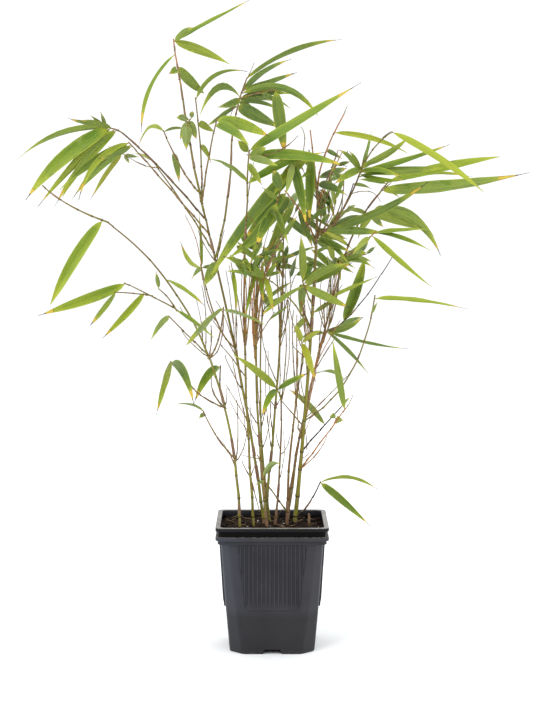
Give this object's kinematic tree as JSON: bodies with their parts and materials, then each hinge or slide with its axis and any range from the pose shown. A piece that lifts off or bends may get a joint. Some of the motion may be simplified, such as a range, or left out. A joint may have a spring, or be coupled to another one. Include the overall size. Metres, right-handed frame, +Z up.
{
  "type": "potted bamboo",
  "caption": "Young clumping bamboo with thin leaning culms and fans of narrow pointed leaves, growing in a square tapered nursery pot.",
  "frame": {"origin": "middle of the pot's flat underside", "axes": "+Z up along the pot's axis, +X to the right of the pot's front, +Y from the front to the back"},
  "size_m": [0.5152, 0.2776, 0.6412],
  "materials": {
    "pot": "satin",
    "soil": "matte",
    "culm_olive": "satin",
    "culm_brown": "satin",
    "leaves_fresh": "satin",
    "leaves_deep": "satin",
    "leaves_pale": "satin",
    "leaves_yellow": "satin"
  },
  "bodies": {
    "root": {"pot": "pot", "soil": "soil", "culm_left": "culm_olive", "culm_tall": "culm_olive", "culm_mid_left": "culm_olive", "culm_centre": "culm_olive", "culm_inner": "culm_olive", "culm_brown": "culm_brown", "culm_back": "culm_olive", "culm_front": "culm_brown", "culm_thick": "culm_olive", "culm_right": "culm_brown", "bough_top": "culm_olive", "bough_upper_left": "culm_brown", "bough_upper_right": "culm_olive", "bough_right": "culm_brown", "bough_right_high": "culm_brown", "leaves_top": "leaves_fresh", "leaves_tip_left": "leaves_fresh", "leaves_curled": "leaves_pale", "leaves_inner_tip": "leaves_fresh", "leaves_inner_right": "leaves_fresh", "leaves_upper_left": "leaves_fresh", "leaves_upper_left_low": "leaves_deep", "leaves_far_left": "leaves_pale", "leaves_high": "leaves_deep", "leaves_mid_left_top": "leaves_fresh", "leaves_crown": "leaves_deep", "leaves_hanging": "leaves_deep", "leaves_orange_stem": "leaves_deep", "leaves_right_high": "leaves_fresh", "leaves_right": "leaves_deep", "leaves_right_mid": "leaves_fresh", "leaves_orange_twig": "leaves_fresh", "leaves_right_drop": "leaves_deep", "leaves_right_node": "leaves_deep", "leaves_long_twig": "leaves_fresh", "leaves_low_twig": "leaves_fresh", "leaves_low_inner": "leaves_pale", "leaves_lowest_right": "leaves_deep", "leaves_lowest_left": "leaves_pale", "leaves_centre_left": "leaves_fresh", "leaves_centre": "leaves_fresh", "leaves_back": "leaves_deep", "leaves_back_low": "leaves_deep", "leaves_inner_dark": "leaves_deep", "leaves_back_right": "leaves_fresh", "leaves_dark_right": "leaves_deep", "leaves_long": "leaves_fresh", "leaves_left_tip": "leaves_fresh", "leaves_left": "leaves_fresh", "leaves_left_inner": "leaves_fresh", "leaves_left_right": "leaves_pale", "leaves_left_low": "leaves_deep", "leaves_left_low_inner": "leaves_fresh", "leaves_left_lowest": "leaves_pale", "leaves_brown_culm": "leaves_fresh", "leaves_front_culm": "leaves_yellow", "leaves_inner_culm": "leaves_fresh", "leaves_centre_culm": "leaves_deep"}
  },
  "joints": []
}
